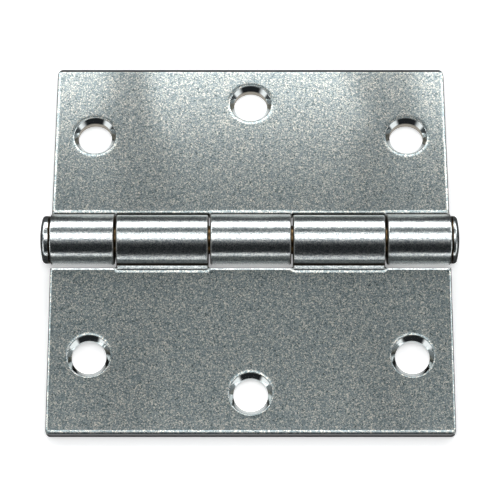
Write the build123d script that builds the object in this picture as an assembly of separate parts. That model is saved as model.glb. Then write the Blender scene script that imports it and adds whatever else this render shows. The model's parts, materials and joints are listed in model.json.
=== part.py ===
# Butt hinge: two swaged steel leaves, a five-knuckle barrel, a loose pin with a button head
# and a button plug that closes the far end of the barrel.
#
# The hinge lies face up and open on a flat surface at z = 0. The pin axis runs along X above
# the origin, the three-knuckle leaf points to +Y and the two-knuckle leaf to -Y. The back of
# the barrel stands lower than the backs of the leaves, so each leaf droops a little until its
# outer edge touches the surface. All lengths are in millimetres and all angles in degrees.
from build123d import *
import os
from math import acos, asin, atan2, cos, degrees, hypot, radians, sin, tan

# Sizes of the whole hinge
hinge_length = 88.9          # along the pin
leaf_width = 44.7            # from the pin axis to the outer edge of a leaf
leaf_thickness = 2.3
face_drop = 0.2              # the face of each leaf lies this far below the pin axis
pin_diameter = 6.35
pin_clearance = 0.06         # radial, between the pin and the knuckles

# Barrel: the sheet dives under the pin and curls round it, and the last of it stays straight
# and stands on the leaf like a low wall
joint_inner = 9.17           # from the middle of the barrel to the joints beside knuckle 3
joint_outer = 30.0           # from the middle of the barrel to the joints beside knuckles 2 and 4
knuckle_gap = 0.4            # between neighbouring knuckles
knuckle_round = 0.4          # rounding of the outer edge at both ends of each knuckle
shoulder_start = 49.0        # angle above the leaf's plane where the curl begins to open
shoulder_radius = 9.2        # outside radius of the flatter shoulder
tip_reach = 5.65             # from the pin axis to the outside of the straight tip
tip_lean = 4.0               # how far the straight tip leans in towards the pin
tip_drop = 0.15              # the tip is cut off this far below the pin axis
tip_bend = 1.0               # outside radius between the shoulder and the tip
tip_round = 0.25             # worn outer corner of the tip
knee_reach = 5.0             # from the pin axis to the bend where the sheet dives under the pin
knee_round = 3.0             # rounding of that bend on the face side
back_round = 2.0             # rounding of the same bend on the back

# Swage: a shallow pocket pressed into the face at the root of each knuckle
pocket_reach = 7.0           # from the pin axis to the top of the pocket's end step
pocket_end = 7.15            # where the rounding over the top of the step runs out
pocket_foot = 6.7            # from the pin axis to the foot of that step
pocket_depth = 0.28          # below the face, at the foot
pocket_slope = 1.0           # fall of the pocket's floor towards the tip of the curl
pocket_side = 0.3            # how far the pocket runs out past each side of its knuckle
pocket_corner = 1.1          # corner radius in plan
step_top_round = 0.25        # rounding over the top of the step
step_foot_round = 0.1        # rounding at its foot

# Notches that clear the other leaf's knuckles
land_reach = 6.2             # the flat face would end here if no notch were cut
notch_reach_three = 6.9      # from the pin axis to the notch edge of the three-knuckle leaf
notch_reach_two = 6.45       # the same on the two-knuckle leaf
notch_corner = 0.6           # inner corner radius in plan
notch_round = 0.25           # rounding of the notch's face edge

# Edges of the blank: the die rolls the face edge over and leaves the back edge nearly sharp
corner_radius = 1.0          # outer corners, in plan
roll_reach = 0.9             # how far the rolled edge reaches in from the cut
roll_angle = 28.0            # how steep it is where the rim's rounding begins
rim_edge_round = 0.3         # rounding between the rolled edge and the cut
edge_round = 0.25            # rounding of the back edge of the cut

# Screw holes: two near the barrel and one near the outer edge of each leaf
outer_hole_offset = 35.4     # along the hinge, from its middle
outer_hole_reach = 27.0      # from the pin axis
middle_hole_reach = 35.6     # from the pin axis
hole_diameter = 7.6
sink_diameter = 9.5
sink_angle = 82.0
sink_round = 0.25            # rounding of the countersink's rim

# Pin and end plug
button_diameter = 10.6
dome_radius = 21.0           # spherical face of both buttons
rim_round = 0.8              # outer edge of both buttons
under_round = 0.2            # inner edge of both buttons
head_height = 2.15           # pin button, at its middle
head_gap = 0.1               # the pin stands this far out of the first knuckle
plug_height = 1.85           # plug button, at its middle
spigot_length = 6.0          # of the plug, inside the last knuckle
spigot_clearance = 0.01      # radial
pin_end_gap = 0.5            # between the pin's tip and the plug
tip_bevel = 0.8              # on the pin's tip and on the plug's spigot

margin = 1.0                 # overshoot of the cutting bodies
close_by = 0.01              # how near an edge lies to the place where it is looked for

# Sizes that follow
bore_radius = pin_diameter / 2 + pin_clearance
barrel_radius = bore_radius + leaf_thickness
axis_height = barrel_radius
half_length = hinge_length / 2
half_gap = knuckle_gap / 2
back_drop = face_drop + leaf_thickness
floor_fall = tan(radians(pocket_slope))
foot_drop = face_drop + pocket_depth
knee_drop = foot_drop + (pocket_foot - knee_reach) * floor_fall
land_floor = -foot_drop - (pocket_foot - land_reach) * floor_fall

# Each leaf droops until the rounding of its outer back edge touches the surface.
edge_reach = leaf_width - edge_round
edge_drop = back_drop - edge_round
droop = degrees(
    asin((barrel_radius - edge_round) / hypot(edge_reach, edge_drop))
    - atan2(edge_drop, edge_reach)
)

# Stretches of the barrel that each leaf's knuckles take, from one end to the other
middle_knuckle = (half_gap - joint_inner, joint_inner - half_gap)
inner_knuckle = (joint_inner + half_gap, joint_outer - half_gap)
end_knuckle = (joint_outer + half_gap, half_length)


def mirrored(stretch):
    """The same stretch on the other side of the middle."""
    return (-stretch[1], -stretch[0])


def widened(stretch, extra):
    """The stretch made longer at both ends."""
    return (stretch[0] - extra, stretch[1] + extra)


def polar(radius, angle, centre=(0, 0)):
    """The point at this radius and angle about a centre."""
    return (centre[0] + radius * cos(radians(angle)), centre[1] + radius * sin(radians(angle)))


def rounded(section, corner, radius):
    """The section with its vertex nearest to the corner rounded."""
    return fillet(section.vertices().sort_by_distance((*corner, 0))[0], radius)


def leaf_section():
    """Section of a leaf: u runs outwards from the pin axis and v runs up from it.

    The face runs in from the outer edge to the end of its land, drops to the level of the
    pockets, slopes to the knee and dives round the inside of the knuckle. The back follows
    it a thickness away and becomes the outside of the knuckle.
    """
    dive = degrees(asin(bore_radius / hypot(knee_reach, knee_drop)) - atan2(knee_drop, knee_reach))
    under = dive - 90
    curl = shoulder_start - 360 - under
    centre = polar(barrel_radius - shoulder_radius, shoulder_start)
    lean = radians(tip_lean)
    centre_reach = centre[0] * cos(lean) + centre[1] * sin(lean)

    walls = []
    bends = []
    ends = []
    for inset in (0, leaf_thickness):
        radius = shoulder_radius - inset
        reach = tip_reach - inset
        opening = tip_lean + degrees(acos((reach - centre_reach) / radius)) - shoulder_start
        bends.append(polar(radius, shoulder_start + opening, centre))
        ends.append(((reach + tip_drop * sin(lean)) / cos(lean), -tip_drop))
        walls.append(CenterArc((0, 0), barrel_radius - inset, under, curl))
        walls.append(CenterArc(centre, radius, shoulder_start, opening))
    walls.append(Polyline(bends[0], ends[0], ends[1], bends[1]))

    outside_start = polar(barrel_radius, under)
    back_bend = outside_start[0] + (-back_drop - outside_start[1]) / tan(radians(dive))
    knee = (knee_reach, -knee_drop)
    bend = (back_bend, -back_drop)
    walls.append(Polyline(polar(bore_radius, under), knee, (land_reach, land_floor),
                          (land_reach, -face_drop), (leaf_width, -face_drop),
                          (leaf_width, -back_drop), bend, outside_start))
    section = make_face(walls)
    section = rounded(section, bends[0], tip_bend)
    section = rounded(section, ends[0], tip_round)
    section = rounded(section, knee, knee_round)
    return rounded(section, bend, back_round)


def pocket_section():
    """Section of what the swage presses out of the face at the root of a knuckle."""
    foot = (pocket_foot, -foot_drop)
    brow = (pocket_reach, -face_drop)
    outer = pocket_reach + margin
    outline = Polyline((land_reach, land_floor), foot, brow, (outer, -face_drop),
                       (outer, margin), (land_reach, margin), close=True)
    section = rounded(make_face(outline), foot, step_foot_round)
    return rounded(section, brow, step_top_round)


def along_pin(section, stretch):
    """Stand a (u, v) section up across the pin and extrude it along a stretch of the pin."""
    plane = Plane(origin=(stretch[0], 0, 0), x_dir=(0, 1, 0), z_dir=(1, 0, 0))
    return extrude(plane * section, amount=stretch[1] - stretch[0])


def slot(stretch, reach, corner):
    """Upright prism over a stretch of the barrel, out to a reach, with rounded outer corners."""
    depth = reach + leaf_width
    middle = (stretch[0] + stretch[1]) / 2
    plan = Pos(middle, reach - depth / 2) * Rectangle(stretch[1] - stretch[0], depth)
    outer = plan.vertices().group_by(Axis.Y)[-1]
    return extrude(fillet(outer, corner), amount=leaf_width, both=True)


def roll_section():
    """Section of what the die rolls off a face edge: s runs in from the cut, v runs up."""
    rim_width = rim_edge_round * (1 - sin(radians(roll_angle)))
    radius = (roll_reach - rim_width) / sin(radians(roll_angle))
    arc = CenterArc((roll_reach, -radius), radius, 90, roll_angle)
    rim_middle = (rim_edge_round, (radius - rim_edge_round) * cos(radians(roll_angle)) - radius)
    rim = CenterArc(rim_middle, rim_edge_round, 90 + roll_angle, 90 - roll_angle)
    rest = Polyline((0, rim_middle[1]), (-margin, rim_middle[1]), (-margin, margin),
                    (roll_reach, margin), (roll_reach, 0))
    return make_face([arc, rim, rest])


def rolled_edges():
    """Cutting body for the rolled face edge round the three free sides of a leaf."""
    section = roll_section()
    corner_x = half_length - corner_radius
    corner_u = leaf_width - corner_radius
    outer = Plane(origin=(corner_x, leaf_width, -face_drop), x_dir=(0, -1, 0), z_dir=(-1, 0, 0))
    cutters = extrude(outer * section, amount=2 * corner_x)
    for side in (-1, 1):
        edge = Plane(origin=(side * half_length, corner_u, -face_drop),
                     x_dir=(-side, 0, 0), z_dir=(0, side, 0))
        corner_axis = Axis((side * corner_x, corner_u, 0), (0, 0, side))
        cutters += extrude(edge * section, amount=side * (pocket_foot - corner_u))
        cutters += revolve(edge * section, corner_axis, 90)
    return cutters


def screw_hole(x, reach):
    """Cutting body for a countersunk hole through the leaf."""
    hole_radius = hole_diameter / 2
    sink_radius = sink_diameter / 2
    flank = tan(radians(sink_angle / 2))
    sink_depth = (sink_radius - hole_radius) / flank
    rim = (sink_radius, -face_drop)
    outer = sink_radius + margin
    outline = Polyline((0, -back_drop - margin), (hole_radius, -back_drop - margin),
                       (hole_radius, -face_drop - sink_depth), rim, (outer, -face_drop),
                       (outer, margin), (0, margin), close=True)
    section = rounded(make_face(outline), rim, sink_round)
    plane = Plane(origin=(x, reach, 0), x_dir=(1, 0, 0), z_dir=(0, -1, 0))
    return revolve(plane * section, Axis((x, reach, 0), (0, 0, 1)))


def outside_curls(body):
    """End edges of the knuckles where they follow the outside of the barrel."""
    found = []
    for face in body.faces().filter_by(Axis.X):
        for edge in face.edges().filter_by(GeomType.CIRCLE):
            middle = edge.position_at(0.5)
            outside = hypot(middle.Y, middle.Z) > barrel_radius - close_by
            if outside and middle.Y < land_reach and edge.length > leaf_thickness:
                found.append(edge)
    return found


def notch_edges(body, notch_reach):
    """Straight edges where the face ends at the notches."""
    nearest = notch_reach - close_by
    farthest = notch_reach + close_by
    edges = body.edges().filter_by(Axis.X).filter_by_position(Axis.Y, nearest, farthest)
    return edges.group_by(Axis.Z)[-1]


def leaf(knuckles, notches, notch_reach):
    """A leaf along +Y with its pin axis on X, before it droops."""
    body = along_pin(leaf_section(), (-half_length, half_length))
    for stretch in notches:
        body -= slot(stretch, notch_reach, notch_corner)
    for stretch in knuckles:
        wide = widened(stretch, pocket_side)
        pocket = along_pin(pocket_section(), wide)
        body -= pocket & slot(wide, pocket_end, pocket_corner)
    corners = body.edges().filter_by(Axis.Z).group_by(Axis.Y)[-1]
    body = fillet(corners, corner_radius)
    body = fillet(outside_curls(body), knuckle_round)
    body -= rolled_edges()
    body = fillet(notch_edges(body, notch_reach), notch_round)
    for x in (-outer_hole_offset, outer_hole_offset):
        body -= screw_hole(x, outer_hole_reach)
    body -= screw_hole(0, middle_hole_reach)
    return body


def lying(flat_leaf, turn):
    """The flat leaf turned about the vertical, drooped and set at the height of the pin."""
    return Pos(0, 0, axis_height) * Rot(Z=turn) * Rot(X=-droop) * flat_leaf


def button(height, shank_radius, shank_length):
    """Domed button at the top of a shank. The shank runs down from the button's inner face."""
    radius = button_diameter / 2
    lean = degrees(asin(radius / dome_radius))
    brim = (radius, height - dome_radius * (1 - cos(radians(lean))))
    dome = CenterArc((0, height - dome_radius), dome_radius, 90 - lean, lean)
    rest = Polyline((0, height), (0, -shank_length), (shank_radius - tip_bevel, -shank_length),
                    (shank_radius, tip_bevel - shank_length), (shank_radius, 0), (radius, 0), brim)
    section = make_face([dome, rest])
    section = rounded(section, brim, rim_round)
    section = rounded(section, (radius, 0), under_round)
    return revolve(Plane.XZ * section, Axis.Z)


three_knuckles = [mirrored(end_knuckle), middle_knuckle, end_knuckle]
two_knuckles = [mirrored(inner_knuckle), inner_knuckle]
beyond_end = (joint_outer - half_gap, half_length + margin)
three_notches = [widened(stretch, knuckle_gap) for stretch in two_knuckles]
two_notches = [mirrored(beyond_end), widened(middle_knuckle, knuckle_gap), beyond_end]

pin_length = head_gap + hinge_length - spigot_length - pin_end_gap
spigot_radius = bore_radius - spigot_clearance
pin = button(head_height, pin_diameter / 2, pin_length)
plug = button(plug_height, spigot_radius, spigot_length)

parts = {
    "three_knuckle_leaf": lying(leaf(three_knuckles, three_notches, notch_reach_three), 0),
    "two_knuckle_leaf": lying(leaf(two_knuckles, two_notches, notch_reach_two), 180),
    "hinge_pin": Pos(-half_length - head_gap, 0, axis_height) * Rot(Y=-90) * pin,
    "end_plug": Pos(half_length, 0, axis_height) * Rot(Y=90) * plug,
}

os.makedirs("parts", exist_ok=True)
for name, solid in parts.items():
    solid.label = name
    export_step(solid, f"parts/{name}.step")

print("droop of each leaf", round(droop, 3), "height of the pin axis", round(axis_height, 3))
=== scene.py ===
import json
import math

import bpy
from mathutils import Euler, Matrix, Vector

mm = 0.001
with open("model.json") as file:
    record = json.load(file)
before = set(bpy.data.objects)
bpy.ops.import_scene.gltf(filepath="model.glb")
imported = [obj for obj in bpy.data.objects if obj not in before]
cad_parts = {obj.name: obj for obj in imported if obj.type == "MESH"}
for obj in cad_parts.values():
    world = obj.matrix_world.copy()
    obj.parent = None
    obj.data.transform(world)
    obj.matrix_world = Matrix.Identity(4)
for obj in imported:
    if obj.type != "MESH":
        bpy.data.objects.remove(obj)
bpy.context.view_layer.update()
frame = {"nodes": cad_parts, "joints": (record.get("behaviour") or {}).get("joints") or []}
nodes = frame["nodes"]
swing = next(joint for joint in frame["joints"] if joint["name"] == "leaf_swing")
axisHeight = swing["pos_m"][2]
print("frame loaded:", ", ".join(sorted(nodes)))


class Wire:
    # a socket of a node tree, so that shader maths reads as an expression
    def __init__(self, tree, socket=None):
        self.tree = tree
        self.socket = socket

    def node(self, kind, settings=None, inputs=None, output=0):
        made = self.tree.nodes.new(kind)
        for key, value in (settings or {}).items():
            if key == "stops":
                ramp = made.color_ramp.elements
                while len(ramp) < len(value):
                    ramp.new(1.0)
                for stop, (position, colour) in zip(ramp, value):
                    stop.position = position
                    stop.color = (*colour, 1.0)
            else:
                setattr(made, key, value)
        for key, value in (inputs or {}).items():
            if isinstance(value, Wire):
                self.tree.links.new(value.socket, made.inputs[key])
            else:
                made.inputs[key].default_value = value
        return Wire(self.tree, made.outputs[output] if made.outputs else None)

    def output(self, name):  # another output of the same node
        return Wire(self.tree, self.socket.node.outputs[name])

    def axes(self):
        parts = self.node("ShaderNodeSeparateXYZ", None, {0: self})
        return [parts.output(axis) for axis in "XYZ"]

    def maths(self, operation, first, second=0.0):
        return self.node("ShaderNodeMath", {"operation": operation}, {0: first, 1: second})

    def __add__(self, other):
        return self.maths("ADD", self, other)

    def __radd__(self, other):
        return self.maths("ADD", other, self)

    def __sub__(self, other):
        return self.maths("SUBTRACT", self, other)

    def __rsub__(self, other):
        return self.maths("SUBTRACT", other, self)

    def __mul__(self, other):
        return self.maths("MULTIPLY", self, other)

    def __rmul__(self, other):
        return self.maths("MULTIPLY", other, self)

    def __truediv__(self, other):
        return self.maths("DIVIDE", self, other)

    def __rtruediv__(self, other):
        return self.maths("DIVIDE", other, self)

    def higher(self, other):
        return self.maths("MAXIMUM", self, other)

    def lower(self, other):
        return self.maths("MINIMUM", self, other)

    def size(self):
        return self.maths("ABSOLUTE", self)

    def span(self, low, high):  # 0 at low, 1 at high, smooth between
        return self.node("ShaderNodeMapRange", {"interpolation_type": "SMOOTHSTEP"},
                         {"Value": self, "From Min": low, "From Max": high})

    def below(self, low, high):  # 1 up to low, 0 from high, smooth between
        return 1.0 - self.span(low, high)

    def fade(self, width):  # 1 up to 0, 0 from width, straight between
        return (1.0 - self.higher(0.0) / width).higher(0.0)

    def pick(self, first, second):  # the first number where self is 0, the second where it is 1
        return self * (second - first) + first

    def noise(self, scale, detail, rough):
        return self.node("ShaderNodeTexNoise", None,
                         {"Vector": self, "Scale": scale, "Detail": detail, "Roughness": rough})

    def blend(self, first, second):  # the first colour where self is 0, the second where it is 1
        mix = self.node("ShaderNodeMix", {"data_type": "RGBA"}, {0: self}).socket.node
        firstColour, secondColour, result = mix.inputs[6], mix.inputs[7], mix.outputs[2]
        for socket, value in ((firstColour, first), (secondColour, second)):
            if isinstance(value, Wire):
                self.tree.links.new(value.socket, socket)
            else:
                socket.default_value = (*value, 1.0)
        return Wire(self.tree, result)


def newMaterial(name):
    material = bpy.data.materials.new(name)
    material.use_nodes = True
    material.node_tree.nodes.clear()
    return material, Wire(material.node_tree)


def close(start, shader):
    start.node("ShaderNodeOutputMaterial", None, {"Surface": shader})


# Where things are on the hinge: a bracket of two lengths is where a soft edge begins and ends,
# unless a note says otherwise
hingePlaces = {
    "curl": (6.7 * mm, 7.2 * mm),  # round the pin axis
    "joints": (9.17 * mm, 30.0 * mm),  # middles of the joints, either side of the barrel's middle
    "jointHalf": (0.3 * mm, 0.6 * mm),
    "droop": 3.922,  # degrees that each leaf leans down
    "faceDrop": 0.2 * mm,
    "sideHoles": (35.4 * mm, 27.0 * mm),  # along the pin, and out from it
    "middleHole": (0.0, 35.6 * mm),  # the same
    "sink": 4.75 * mm,  # radius of the countersinks
    "sinkEdge": (-0.1 * mm, 0.1 * mm),  # from the countersink's rim
    "boreEdge": (-0.98 * mm, -0.88 * mm),  # the same
}


class Place:  # the parts of a point on the hinge that the materials ask for
    def __init__(self, start, side):
        self.spot = start.node("ShaderNodeTexCoord", output="Object")
        self.x, self.y, z = self.spot.axes()
        ahead = self.y.size()
        droop = math.radians(hingePlaces["droop"])
        self.across = self.x.size()
        self.ahead = ahead
        self.own = self.y * side  # outwards over this leaf
        self.height = z - axisHeight
        self.radius = self.length(self.y, self.height)
        self.reach = ahead / math.cos(droop)  # from the pin axis, along the leaf
        self.depth = ahead * -math.tan(droop) - hingePlaces["faceDrop"] - self.height  # below the face

    def length(self, first, second):
        return first.maths("SQRT", first * first + second * second)

    def nearestHole(self):  # distance to the middle of the nearest screw hole
        side, middle = (self.length(self.across - along, self.reach - out)
                        for along, out in (hingePlaces["sideHoles"], hingePlaces["middleHole"]))
        return side.lower(middle)

    def nearJoint(self):  # 1 in the joints between the knuckles
        first, second = ((self.across - joint).size() for joint in hingePlaces["joints"])
        return first.lower(second).below(*hingePlaces["jointHalf"])


# Zinc plating: satin with fine warm flecks on the flat of the leaves,
# burnished on the curls and in the screw holes
zinc = {
    "flecks": [(0.0, (0.05, 0.08, 0.085)), (0.20, (0.22, 0.275, 0.285)), (0.68, (0.375, 0.43, 0.44)),
               (0.82, (0.63, 0.615, 0.56)), (1.0, (1.0, 0.93, 0.80))],
    "burnished": [(0.0, (0.31, 0.34, 0.35)), (0.5, (0.58, 0.63, 0.64)), (1.0, (0.98, 0.98, 0.95))],
    "sunk": (0.66, 0.70, 0.70),  # in the countersinks
    "bore": (0.36, 0.33, 0.28),  # in the holes below them
    "fleckScale": 5000.0,
    "fleckShare": 0.95,
    "patches": {"scale": 1400.0, "detail": 3.0, "rough": 0.6},
    "patchShare": 0.5,
    "darker": 0.22,  # taken off the sum of flecks and patches
    "satinRough": 0.13,
    "burnishedRough": 0.10,
    "sunkSmoother": 0.03,
    "boreRougher": 0.3,
    "dirtAndShadeRougher": 0.4,
    "satinMatt": 0.30,  # share of the matt coat over the polished metal
    "curlMatt": 0.26,
    "satinMattRough": 0.36,
    "curlMattRough": 0.28,
    "ripples": {"scale": 4200.0, "detail": 2.0, "rough": 0.6},
    "satinRipple": 0.012,  # height in millimetres
    "burnishedRipple": 0.031,  # the same
}


def flecks(place):
    cell = place.spot.node("ShaderNodeTexVoronoi", None,
                           {"Vector": place.spot, "Scale": zinc["fleckScale"]}, "Color")
    return cell.node("ShaderNodeSeparateColor", None, {0: cell})


# Painted dark reflection: the leaf's mirror colour darkens towards black in two bands beside the outer
# screw holes, most of all far from the barrel
paintedDarkReflections = {
    "middle": 1.5 * mm,  # the bands lie at both sides of this place
    "sway": {"scale": 70.0, "detail": 1.0, "rough": 0.5},
    "swayWidth": 12.0 * mm,
    "lean": 5.0 * mm,  # how much nearer to the middle they come beside the barrel
    "leanReach": (10.0 * mm, 36.0 * mm),
    "start": (19.0 * mm, 28.0 * mm),
    "end": (31.0 * mm, 40.0 * mm),
    "growReach": (5.0 * mm, 38.0 * mm),
    "nearShare": 0.4,
    "strength": (0.60, 0.25),  # on the far leaf, on the near leaf
}


def paintedDarkReflectionOn(place, which):
    sway = (place.spot.noise(**paintedDarkReflections["sway"]) - 0.5) * paintedDarkReflections["swayWidth"]
    aside = (place.x - paintedDarkReflections["middle"] + sway).size()
    aside = aside + place.reach.below(*paintedDarkReflections["leanReach"]) * paintedDarkReflections["lean"]
    bands = aside.span(*paintedDarkReflections["start"]) * aside.below(*paintedDarkReflections["end"])
    grown = place.reach.span(*paintedDarkReflections["growReach"]).pick(paintedDarkReflections["nearShare"], 1.0)
    return bands * grown * paintedDarkReflections["strength"][which]


# Dirt and painted shade: dark brown in the joints, under the tip of the curl, behind the barrel and on
# the cut of the notches, painted where shade falls, with some real dirt in the joints too
dirtAndPaintedShade = {
    "colour": (0.022, 0.016, 0.008),
    "jointRadius": (6.3 * mm, 6.9 * mm),
    "seamHeight": (0.0, 0.25 * mm),  # from the pin axis
    "seamStart": (0.0, 1.0 * mm),
    "seamEnd": (5.8 * mm, 5.95 * mm),
    "barrelRadius": (6.0 * mm, 6.25 * mm),
    "backHeight": (2.9 * mm, 3.9 * mm),
    "backStart": (2.0 * mm, 3.0 * mm),
    "backShare": 0.6,
    "backFoot": (5.0 * mm, 5.3 * mm),
    "cutDepth": (0.1 * mm, 0.2 * mm),
    "cutStart": (6.72 * mm, 6.76 * mm),
    "cutEnd": (6.9 * mm, 6.95 * mm),
    "rootStart": (6.1 * mm, 6.3 * mm),
    "rootEnd": (6.65 * mm, 6.8 * mm),
    "rootShare": 0.5,
}


def dirtAndPaintedShadeOn(place, side):
    joint = place.nearJoint() * place.radius.below(*dirtAndPaintedShade["jointRadius"])
    seam = place.own.span(*dirtAndPaintedShade["seamStart"]) * place.own.below(*dirtAndPaintedShade["seamEnd"])
    seam = seam * place.height.below(*dirtAndPaintedShade["seamHeight"])
    barrel = place.radius.below(*dirtAndPaintedShade["barrelRadius"])
    back = place.height.below(*dirtAndPaintedShade["backHeight"]) * place.y.span(*dirtAndPaintedShade["backStart"]) * dirtAndPaintedShade["backShare"]
    deep = place.depth.span(*dirtAndPaintedShade["cutDepth"])
    cut = deep * place.own.span(*dirtAndPaintedShade["cutStart"]) * place.own.below(*dirtAndPaintedShade["cutEnd"])
    if side > 0:  # the far leaf's root faces the camera
        back = back.higher(place.y.span(*dirtAndPaintedShade["backFoot"]))
        root = place.own.span(*dirtAndPaintedShade["rootStart"]) * place.own.below(*dirtAndPaintedShade["rootEnd"])
        cut = cut.higher(root * deep * dirtAndPaintedShade["rootShare"])
    return joint.higher(seam).higher(back * barrel).higher(cut)


# The cut edges of the sheet are duller than its face, and are painted darker still, near black, as
# painted shade along the outer edges of the leaves
cutEdgeAndShade = {
    "colour": (0.05, 0.052, 0.055),
    "ends": (44.2 * mm, 44.35 * mm),
    "outer": ((43.95 * mm, 44.2 * mm), (44.35 * mm, 44.6 * mm)),  # on the far leaf, on the near leaf
}


def cutEdgeAndShadeOn(place, which):
    return place.across.span(*cutEdgeAndShade["ends"]).higher(place.reach.span(*cutEdgeAndShade["outer"][which]))


# The face dips towards each screw hole, and bends at the pockets and notches. Heights, depths
# and slopes are in millimetres
relief = {
    "dipWidth": 0.9 * mm,
    "dipDepth": 0.065,
    "ringWidth": 0.18 * mm,
    "ringDepth": 0.05,
    "pocketStart": (8.67 * mm, 9.57 * mm),  # along the pin, over the near leaf's knuckles
    "pocketEnd": (29.6 * mm, 30.5 * mm),
    "pocketReach": 7.1 * mm,
    "notchReach": (6.9 * mm, 6.45 * mm),  # this and the next ones: on the far leaf, on the near leaf
    "lipWidth": (0.60 * mm, 0.50 * mm),
    "lipHeight": (-0.18, 0.12),
    "stepWidth": (0.35 * mm, 1.2 * mm),
    "stepSlope": (250.0, -60.0),  # for each metre of reach
}


def reliefOn(place, rim, side, which):
    dip = rim.fade(relief["dipWidth"])
    ring = rim.fade(relief["ringWidth"])
    height = dip * dip * -relief["dipDepth"] - ring * relief["ringDepth"]
    pocket = place.across.span(*relief["pocketStart"]) * place.across.below(*relief["pocketEnd"])
    if side > 0:  # the far leaf's knuckles stand between those of the near leaf
        pocket = 1.0 - pocket
    edge = pocket.pick(relief["notchReach"][which], relief["pocketReach"])
    lip = (place.reach - edge).fade(relief["lipWidth"][which]) * relief["lipHeight"][which]
    step = place.reach.lower(relief["pocketReach"]) - relief["pocketReach"]
    step = step.higher(-relief["stepWidth"][which]) * pocket * relief["stepSlope"][which]
    return height + lip + step


def leafMaterial(name, side):  # side: 1 for the far leaf, -1 for the near leaf
    material, start = newMaterial(name)
    which = 0 if side > 0 else 1
    place = Place(start, side)
    rim = place.nearestHole() - hingePlaces["sink"]
    onCurl = place.radius.below(*hingePlaces["curl"])
    inHole = rim.below(*hingePlaces["sinkEdge"])
    inBore = rim.below(*hingePlaces["boreEdge"])
    smooth = onCurl.higher(inHole)
    # dark brown mask: painted shade in the crevices and gaps, and dirt in the joints
    dirtAndShade = dirtAndPaintedShadeOn(place, side)
    # painted shade on the cut edges, over their duller colour
    shearedAndShaded = cutEdgeAndShadeOn(place, which) * (1.0 - onCurl)

    patches = place.spot.noise(**zinc["patches"])
    grain = flecks(place) * zinc["fleckShare"] + patches * zinc["patchShare"] - zinc["darker"]
    satin = start.node("ShaderNodeValToRGB", {"stops": zinc["flecks"]}, {0: grain})
    burnished = start.node("ShaderNodeValToRGB", {"stops": zinc["burnished"]}, {0: grain})
    hole = inBore.blend(zinc["sunk"], zinc["bore"])
    colour = inHole.blend(onCurl.blend(satin, burnished), hole)
    # painted dark reflection: the mirror colour goes towards black in the two bands, but not on the
    # curls or in the holes
    mirror = (paintedDarkReflectionOn(place, which) * (1.0 - smooth)).blend(colour, (0.0, 0.0, 0.0))
    colour = dirtAndShade.blend(shearedAndShaded.blend(colour, cutEdgeAndShade["colour"]), dirtAndPaintedShade["colour"])
    mirror = dirtAndShade.blend(shearedAndShaded.blend(mirror, cutEdgeAndShade["colour"]), dirtAndPaintedShade["colour"])

    ripple = place.spot.noise(**zinc["ripples"]) * (1.0 - inHole)
    ripple = ripple * onCurl.pick(zinc["satinRipple"], zinc["burnishedRipple"])
    bump = start.node("ShaderNodeBump", None, {
        "Strength": 1.0, "Distance": mm, "Height": ripple + reliefOn(place, rim, side, which)})

    rough = smooth.pick(zinc["satinRough"], zinc["burnishedRough"]) + dirtAndShade * zinc["dirtAndShadeRougher"]
    rough = rough - inHole * zinc["sunkSmoother"] + inBore * zinc["boreRougher"]
    metal = 1.0 - dirtAndShade
    polish = start.node("ShaderNodeBsdfPrincipled", None, {
        "Base Color": mirror, "Metallic": metal, "Roughness": rough, "Normal": bump})
    mattRough = smooth.pick(zinc["satinMattRough"], zinc["curlMattRough"])
    matt = start.node("ShaderNodeBsdfPrincipled", None, {
        "Base Color": colour, "Metallic": smooth * metal, "Roughness": mattRough, "Normal": bump})
    share = onCurl.pick(zinc["satinMatt"], zinc["curlMatt"]) * (1.0 - inHole)
    close(start, start.node("ShaderNodeMixShader", None, {0: share, 1: polish, 2: matt}))
    return material


# The pin and the plug: burnished too, brown where the joints and the barrel's ends touch them
turned = {
    "jointBrown": (0.16, 0.10, 0.045),
    "brimBrown": (0.05, 0.03, 0.012),
    "brimStart": (44.3 * mm, 44.4 * mm),
    "brimEnd": (44.72 * mm, 44.86 * mm),
}


def turnedMaterial(name):
    material, start = newMaterial(name)
    place = Place(start, 1)
    colour = start.node("ShaderNodeValToRGB", {"stops": zinc["burnished"]}, {0: flecks(place)})
    colour = place.nearJoint().blend(colour, turned["jointBrown"])
    brim = place.across.span(*turned["brimStart"]) * place.across.below(*turned["brimEnd"])
    colour = brim.blend(colour, turned["brimBrown"])
    ripple = place.spot.noise(**zinc["ripples"]) * zinc["burnishedRipple"]
    bump = start.node("ShaderNodeBump", None, {"Strength": 1.0, "Distance": mm, "Height": ripple})
    polish, matt = (start.node("ShaderNodeBsdfPrincipled", None, {
        "Base Color": colour, "Metallic": 1.0, "Roughness": rough, "Normal": bump})
        for rough in (zinc["burnishedRough"], zinc["curlMattRough"]))
    close(start, start.node("ShaderNodeMixShader", None, {0: zinc["curlMatt"], 1: polish, 2: matt}))
    return material


materials = {
    "three_knuckle_leaf": leafMaterial("three_knuckle_leaf_zinc", 1),
    "two_knuckle_leaf": leafMaterial("two_knuckle_leaf_zinc", -1),
    "hinge_pin": turnedMaterial("hinge_pin_zinc"),
    "end_plug": turnedMaterial("end_plug_zinc"),
}
for name, material in materials.items():
    nodes[name].data.materials.clear()
    nodes[name].data.materials.append(material)
print("materials on")

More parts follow.
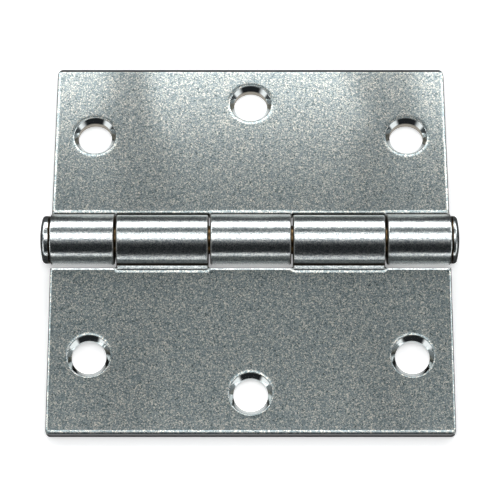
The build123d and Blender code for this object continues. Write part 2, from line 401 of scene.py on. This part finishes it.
# Floor: white paper that glows a little for the camera. For the hinge's reflections alone it is painted:
# lit in front and where it shows through the notches and screw holes, and dark elsewhere, as painted
# reflection
paper = {
    "half": 6.0,
    "colour": (0.93, 0.93, 0.93),
    "mirrored": (0.05, 0.05, 0.05),
    "glow": 0.32,
    "paintedFrontReflection": 1.1,
    # painted light on the paper under the screw holes, seen by the camera
    "paintedHoleLight": 0.2,
    "frontStart": (-45.3 * mm, -44.6 * mm),
    "frontEnd": (-200.0 * mm, -140.0 * mm),
    "underAcross": (44.2 * mm, 44.5 * mm),
    "underAhead": (44.0 * mm, 44.4 * mm),
    "middleNotch": (8.7 * mm, 8.9 * mm),
    "outerNotch": (30.9 * mm, 31.1 * mm),
    "notchAhead": (8.5 * mm, 9.5 * mm),
    "holes": (5.0 * mm, 6.0 * mm),
    "paintedShadow": (0.14, 0.14, 0.14),  # painted contact shadow right behind the far leaf, which touches the paper
    "paintedShadowStart": (44.4 * mm, 44.55 * mm),
    "paintedShadowEnd": (45.75 * mm, 45.95 * mm),
    "paintedShadowAcross": (43.5 * mm, 44.4 * mm),
}


def paperMaterial():
    material, start = newMaterial("paper")
    place = Place(start, 1)
    path = start.node("ShaderNodeLightPath")
    camera = path.output("Is Camera Ray")
    glossy = path.output("Is Glossy Ray")
    front = place.y.below(*paper["frontStart"]) * place.y.span(*paper["frontEnd"])
    under = place.across.below(*paper["underAcross"]) * place.ahead.below(*paper["underAhead"])
    notches = place.across.below(*paper["middleNotch"]).higher(place.across.span(*paper["outerNotch"]))
    notches = notches * place.ahead.below(*paper["notchAhead"])
    holes = place.nearestHole().below(*paper["holes"])
    paintedMirrorLight = front.higher(under * notches.higher(holes))
    # painted contact shadow: a dark strip on the paper behind the far leaf's outer edge, with no glow
    paintedShadow = place.y.span(*paper["paintedShadowStart"]) * place.y.below(*paper["paintedShadowEnd"])
    paintedShadow = paintedShadow * place.across.below(*paper["paintedShadowAcross"])
    # painted reflection: glossy rays see the paper dark outside the lit places
    colour = (glossy * (1.0 - paintedMirrorLight)).blend(paper["colour"], paper["mirrored"])
    colour = paintedShadow.blend(colour, paper["paintedShadow"])
    glow = (camera * (1.0 - paintedShadow) + glossy * paintedMirrorLight) * paper["glow"]
    # painted reflection: a strip in front glows for glossy rays only
    glow = glow + glossy * front * paper["paintedFrontReflection"] + camera * holes * paper["paintedHoleLight"]
    shader = start.node("ShaderNodeBsdfPrincipled", None, {
        "Base Color": colour, "Roughness": 1.0, "Specular IOR Level": 0.0,
        "Emission Color": glow, "Emission Strength": 1.0})
    close(start, shader)
    return material


def paperFloor():
    mesh = bpy.data.meshes.new("paper_floor")
    half = paper["half"]
    corners = [(-half, -half, 0), (half, -half, 0), (half, half, 0), (-half, half, 0)]
    mesh.from_pydata(corners, [], [(0, 1, 2, 3)])
    mesh.materials.append(paperMaterial())
    floor = bpy.data.objects.new("paper_floor", mesh)
    bpy.context.scene.collection.objects.link(floor)


paperFloor()
print("floor laid")

# Studio: large soft boxes overhead, behind and at both sides. Aim is in degrees from upright,
# to the right and to the back, and depth and width are the angles that a box fills
softBoxes = {
    "overhead_box": {
        "aim": (0.0, -5.2), "depth": 24.7, "width": 74.0, "radiance": 2.3, "distance": 2.0},
    "back_box": {
        "aim": (0.0, 52.4), "depth": 26.4, "width": 74.0, "radiance": 3.6, "distance": 0.6},
    "left_box": {
        "aim": (-50.0, 24.0), "depth": 36.0, "width": 24.0, "radiance": 2.3, "distance": 2.0},
    "right_box": {
        "aim": (50.0, 24.0), "depth": 36.0, "width": 24.0, "radiance": 2.3, "distance": 2.0},
}


def softBox(name, box):
    across, back = (math.radians(angle) for angle in box["aim"])
    width, depth = (2 * box["distance"] * math.tan(math.radians(box[angle]) / 2)
                    for angle in ("width", "depth"))
    lamp = bpy.data.lights.new(name, "AREA")
    lamp.shape = "RECTANGLE"
    lamp.size = width
    lamp.size_y = depth
    lamp.energy = box["radiance"] * math.pi * width * depth
    light = bpy.data.objects.new(name, lamp)
    turn = Euler((-back, across, 0)).to_matrix()
    light.rotation_euler = turn.to_euler()
    light.location = turn @ Vector((0, 0, box["distance"])) + Vector((0, 0, axisHeight))
    bpy.context.scene.collection.objects.link(light)


for name, box in softBoxes.items():
    softBox(name, box)

# The room round the lamps: grey at the back, dark low down and in front, and pale low down at
# both sides. Each bracket is where a soft edge begins and ends, on directions of length 1
room = {
    "back": (0.165, 0.185, 0.19),
    "low": (0.06, 0.065, 0.07),
    "lowEdge": (0.10, 0.36),
    "front": (0.02, 0.022, 0.024),
    "skirt": (0.40, 0.41, 0.42),  # between the dark front and the back
    "frontEdge": (-0.72, -0.28),
    "backEdge": (-0.25, -0.15),
    "sides": (1.25, 1.25, 1.25),
    "sidesAcross": (0.52, 0.74),
    "sidesFront": (-0.85, -0.65),
    "sidesBack": (-0.25, -0.05),
    "sidesTop": (0.30, 0.42),
    "seen": (1.0, 1.0, 1.0),  # what the camera sees of it
}


def studioRoom():
    world = bpy.data.worlds.new("studio_room")
    world.use_nodes = True
    world.node_tree.nodes.clear()
    start = Wire(world.node_tree)
    x, y, z = start.node("ShaderNodeTexCoord").axes()
    back = z.span(*room["lowEdge"]).blend(room["low"], room["back"])
    front = y.span(*room["frontEdge"]).blend(room["front"], room["skirt"])
    colour = y.span(*room["backEdge"]).blend(front, back)
    sides = x.size().span(*room["sidesAcross"]) * z.below(*room["sidesTop"])
    sides = sides * y.span(*room["sidesFront"]) * y.below(*room["sidesBack"])
    colour = sides.blend(colour, room["sides"])
    camera = start.node("ShaderNodeLightPath", output="Is Camera Ray")
    colour = camera.blend(colour, room["seen"])
    sky = start.node("ShaderNodeBackground", None, {"Color": colour, "Strength": 1.0})
    start.node("ShaderNodeOutputWorld", None, {"Surface": sky})
    bpy.context.scene.world = world


studioRoom()
print("studio set")

# Camera: the photograph's long lens, standing in front of the near leaf and looking down at it
cameraView = {
    "focal": 178.96,
    "sensor": 36.0,
    "distance": 0.5524,
    "pitch": 24.4,
    "shift": (-0.0014, -0.0202),
    "clipStart": 0.01,
}


def aimCamera():
    pitch = math.radians(cameraView["pitch"])
    data = bpy.data.cameras.new("camera")
    data.lens = cameraView["focal"]
    data.sensor_width = cameraView["sensor"]
    data.shift_x, data.shift_y = cameraView["shift"]
    data.clip_start = cameraView["clipStart"]
    camera = bpy.data.objects.new("camera", data)
    upwards = Vector((0, -math.sin(pitch), math.cos(pitch)))
    camera.location = Vector((0, 0, axisHeight)) + cameraView["distance"] * upwards
    camera.rotation_euler = Euler((pitch, 0, 0))
    bpy.context.scene.collection.objects.link(camera)
    bpy.context.scene.camera = camera


aimCamera()
bpy.context.scene.view_settings.view_transform = "Standard"
print("camera set")
